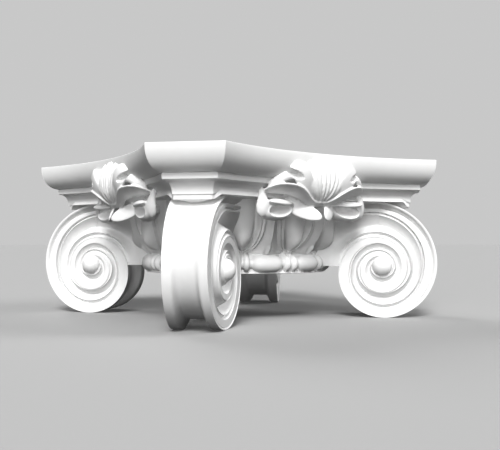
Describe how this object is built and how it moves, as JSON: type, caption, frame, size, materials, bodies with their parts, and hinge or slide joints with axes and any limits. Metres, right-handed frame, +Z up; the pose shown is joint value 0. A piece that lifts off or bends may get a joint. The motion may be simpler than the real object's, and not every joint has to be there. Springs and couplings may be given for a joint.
{
  "type": "column capital",
  "caption": "White moulded column capital: hollow-sided abacus, four corner scrolls, egg and dart, beaded ring and a flower on each side.",
  "frame": {"origin": "on the ground under the capital's middle, where its four scrolls stand", "axes": "+Z up along the column's axis, +X and +Y square to two sides of the abacus"},
  "size_m": [0.3698, 0.3698, 0.17],
  "materials": {
    "white_cast": "moulded rigid polyurethane with a matte white primer, faint grain and soft cast edges"
  },
  "bodies": {
    "root": {"capital": "white_cast"}
  },
  "joints": []
}
